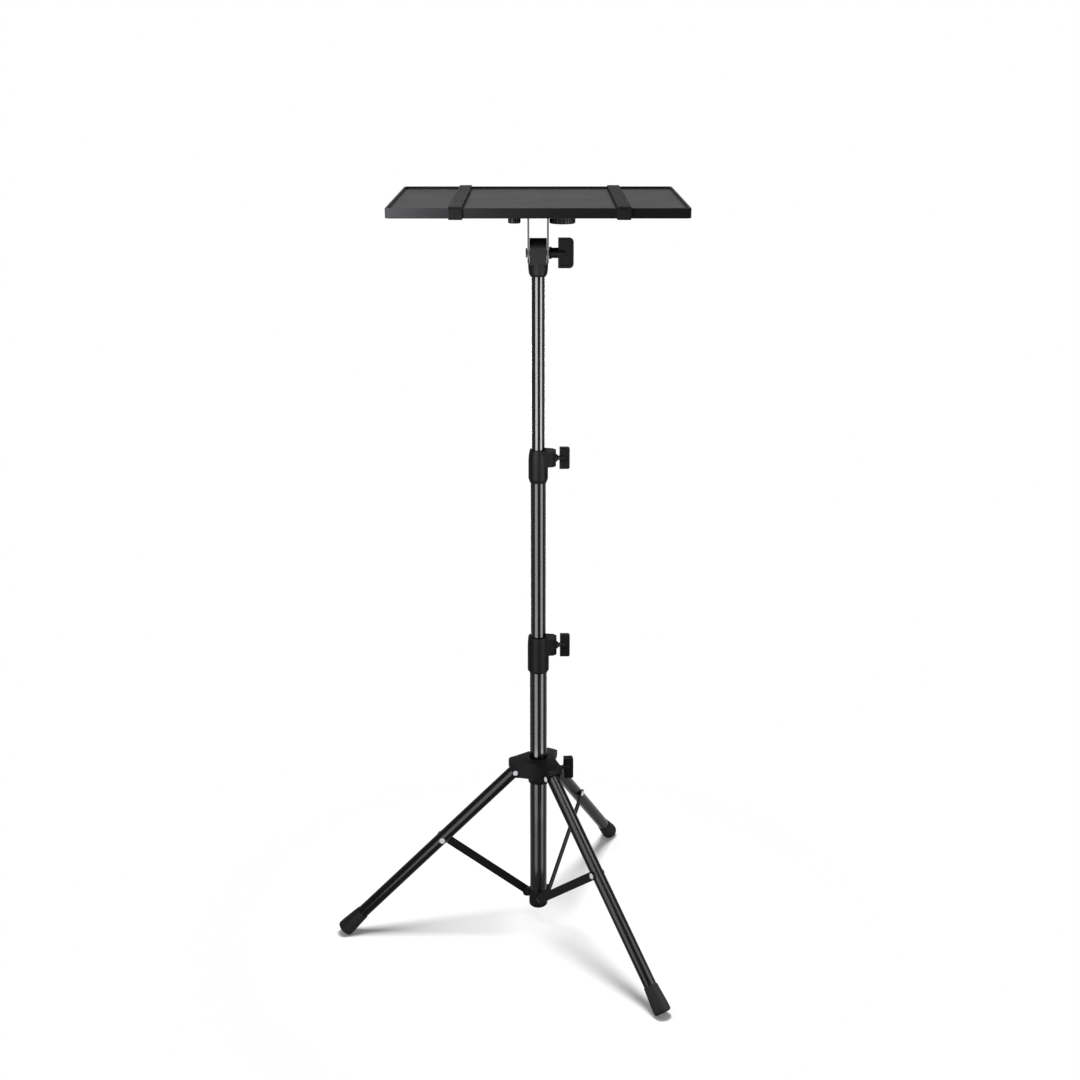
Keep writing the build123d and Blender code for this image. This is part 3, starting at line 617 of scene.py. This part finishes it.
def floor_material():
    """A pale floor that takes the shadows of the legs and turns to plain white further out."""
    material = bpy.data.materials.new("studio_floor")
    material.use_nodes = True
    tree = material.node_tree
    tree.nodes.remove(tree.nodes["Principled BSDF"])
    matt = add(tree, "ShaderNodeBsdfDiffuse")
    matt.inputs["Color"].default_value = (FLOOR_COLOUR, FLOOR_COLOUR, FLOOR_COLOUR, 1.0)
    white = add(tree, "ShaderNodeEmission")
    whole = add(tree, "ShaderNodeMixShader")
    place = add(tree, "ShaderNodeTexCoord")
    radius = add(tree, "ShaderNodeVectorMath", operation="DISTANCE")
    radius.inputs[1].default_value = MAST
    far = add(tree, "ShaderNodeMapRange", interpolation_type="SMOOTHSTEP")
    far.inputs["From Min"].default_value, far.inputs["From Max"].default_value = FLOOR_FADE
    link = tree.links.new
    link(light_path_mask(tree), white.inputs["Strength"])
    link(place.outputs["Object"], radius.inputs[0])
    link(radius.outputs["Value"], far.inputs["Value"])
    link(far.outputs["Result"], whole.inputs["Fac"])
    link(matt.outputs[0], whole.inputs[1])
    link(white.outputs[0], whole.inputs[2])
    link(whole.outputs[0], tree.nodes["Material Output"].inputs["Surface"])
    return material


floor_data = bpy.data.meshes.new("floor")
floor_corners = [(MAST.x + x * FLOOR_HALF, MAST.y + y * FLOOR_HALF, 0.0)
                 for x, y in ((-1, -1), (1, -1), (1, 1), (-1, 1))]
floor_data.from_pydata(floor_corners, [], [(0, 1, 2, 3)])
floor_data.materials.append(floor_material())
floor = bpy.data.objects.new("floor", floor_data)
bpy.context.scene.collection.objects.link(floor)

world = bpy.data.worlds.new("white_surround")
world.use_nodes = True
bpy.context.scene.world = world
surround = world.node_tree
background = surround.nodes["Background"]
background.inputs["Color"].default_value = (1.0, 1.0, 1.0, 1.0)
surround_light = add(surround, "ShaderNodeMapRange")
surround_light.inputs["To Min"].default_value = SURROUND_LIGHT
surround_light.inputs["To Max"].default_value = 1.0
surround.links.new(light_path_mask(surround), surround_light.inputs["Value"])
surround.links.new(surround_light.outputs["Result"], background.inputs["Strength"])


def soft_lamp(name, azimuth, distance, height, size, radiance, aim_height):
    """A rectangular soft lamp; azimuth is in degrees to the right of the camera's side."""
    data = bpy.data.lights.new(name, "AREA")
    data.shape = "RECTANGLE"
    data.size, data.size_y = size
    data.energy = radiance * math.pi * size[0] * size[1]
    lamp = bpy.data.objects.new(name, data)
    angle = math.radians(azimuth)
    place = MAST + Vector((math.sin(angle) * distance, -math.cos(angle) * distance, height))
    aim = MAST + Vector((0.0, 0.0, aim_height)) - place
    lamp.matrix_world = Matrix.Translation(place) @ aim.to_track_quat("-Z", "Y").to_matrix().to_4x4()
    lamp.visible_camera = False
    bpy.context.scene.collection.objects.link(lamp)
    return lamp


def lamp_group(name, pieces):
    """A collection of the pieces that a lamp lights, or that stand in its way."""
    group = bpy.data.collections.new(name)
    for piece in pieces:
        group.objects.link(piece)
    return group


def reflector_strip(name, azimuth, distance, bottom, top, width, radiance, lit_pieces):
    """An upright strip that shows only as a highlight, and only in the given pieces."""
    middle = (bottom + top) / 2
    strip = soft_lamp(name, azimuth, distance, middle, (width, top - bottom), radiance, middle)
    strip.visible_diffuse = False
    strip.light_linking.receiver_collection = lit_pieces


stand_pieces = [piece for piece in bpy.context.scene.objects
                if piece.type == "MESH" and piece != floor]
all_but_tray = [piece for piece in stand_pieces if piece != nodes["tray"]]
legs = [nodes[f"leg_{side}"] for side in SIDES]
feet = [nodes[f"foot_{side}"] for side in SIDES]
mast_tubes = [nodes[f"{place}_tube"] for place in ("lower", "middle", "upper")]
whole_stand = lamp_group("whole_stand", stand_pieces)
lit_by_strips = lamp_group(
    "lit_by_strips", [piece for piece in all_but_tray if "rivet" not in piece.name],
)
mast_foot = lamp_group("mast_foot", [nodes["lower_tube"], nodes["bottom_collar"]])
tubes = lamp_group("tubes", legs + mast_tubes)
legs_and_feet = lamp_group("legs_and_feet", legs + feet)
lit_tray = lamp_group("lit_tray", [nodes["tray"]])

# Each strip: name, azimuth and width in degrees, share of the radiance, and what its far bands light
STRIPS = (
    ("left", -29.5, 39.0, 1.0, lit_by_strips),
    ("right", 51.5, 33.0, 1.0, lit_by_strips),
    ("back", 180.0, 24.0, 0.35, tubes),
)
# Each band of a strip: distance, bottom, top and radiance; the near bands light the mast's foot
STRIP_NEAR, STRIP_FAR = 0.13, 0.40
STRIP_BANDS = (
    (STRIP_NEAR, 0.01, 0.09, 7.0),
    (STRIP_NEAR, 0.09, 0.20, 10.0),
    (STRIP_FAR, 0.02, 0.25, 18.0),
    (STRIP_FAR, 0.25, 0.53, 20.0),
    (STRIP_FAR, 0.53, 0.83, 44.0),
)
for strip, azimuth, spread_angle, share, far_pieces in STRIPS:
    for band, (distance, bottom, top, radiance) in enumerate(STRIP_BANDS):
        reflector_strip(
            f"{strip}_strip_{band}", azimuth, distance, bottom, top,
            width=2.0 * distance * math.tan(math.radians(spread_angle / 2)), radiance=share * radiance,
            lit_pieces=mast_foot if distance == STRIP_NEAR else far_pieces,
        )

# Under the tray each piece has a strip of its own: azimuth and radiance
UNDER_TRAY_STRIPS = {
    "tilt_head": (0.0, 24.0),
    "tilt_knob": (0.0, 6.0),
    "left_hand_nut": (-45.0, 60.0),
    "right_hand_nut": (45.0, 60.0),
}
for piece, (azimuth, radiance) in UNDER_TRAY_STRIPS.items():
    reflector_strip(
        f"{piece}_strip", azimuth, STRIP_FAR, bottom=0.69, top=0.99, width=0.25, radiance=radiance,
        lit_pieces=lamp_group(f"lit_{piece}", [nodes[piece]]),
    )

top_lamp = soft_lamp(
    "top_lamp", azimuth=-20.0, distance=0.35, height=2.2, size=(1.2, 1.2), radiance=2.2, aim_height=0.4,
)
top_lamp.light_linking.receiver_collection = whole_stand
back_lamp = soft_lamp(
    "back_lamp", azimuth=180.0, distance=0.60, height=0.5, size=(0.3, 1.0), radiance=8.0, aim_height=0.5,
)
back_lamp.visible_glossy = False
back_lamp.light_linking.receiver_collection = whole_stand
left_lamp = soft_lamp(
    "left_lamp", azimuth=-50.0, distance=0.45, height=1.02, size=(0.25, 0.25), radiance=11.0,
    aim_height=0.95,
)
left_lamp.light_linking.receiver_collection = lamp_group("lit_from_left", all_but_tray + [floor])
lip_lamp = soft_lamp(
    "lip_lamp", azimuth=-41.7, distance=0.308, height=0.97, size=(0.10, 0.05), radiance=45.0,
    aim_height=0.95,
)
lip_lamp.light_linking.receiver_collection = lit_tray
under_lamp = soft_lamp(
    "under_lamp", azimuth=180.0, distance=0.10, height=0.35, size=(0.3, 0.3), radiance=10.0,
    aim_height=0.95,
)
under_lamp.visible_glossy = False
under_lamp.light_linking.receiver_collection = lit_tray
floor_lamp = soft_lamp(
    "floor_lamp", azimuth=0.0, distance=0.02, height=1.5, size=(0.4, 0.4), radiance=46.0, aim_height=0.0,
)
floor_lamp.light_linking.receiver_collection = lamp_group("lit_floor", [floor])
floor_lamp.light_linking.blocker_collection = legs_and_feet


# Camera: the photograph's height, distance and tilt, square to the tray.
# Its place is measured back from the mast, and its lens gives the photograph's perspective.
CAMERA_BACK = 1.775
CAMERA_HEIGHT = 1.122
CAMERA_TILT = 18.18
CAMERA_TURN = 0.07
CAMERA_LENS = 50.6
CAMERA_SENSOR = 36.0
camera_data = bpy.data.cameras.new("camera")
camera_data.lens = CAMERA_LENS
camera_data.sensor_width = CAMERA_SENSOR
camera = bpy.data.objects.new("camera", camera_data)
camera.location = MAST + Vector((0.0, -CAMERA_BACK, CAMERA_HEIGHT))
camera.rotation_euler = (math.radians(90.0 - CAMERA_TILT), 0.0, math.radians(-CAMERA_TURN))
bpy.context.scene.collection.objects.link(camera)
bpy.context.scene.camera = camera
bpy.context.scene.view_settings.view_transform = "Standard"
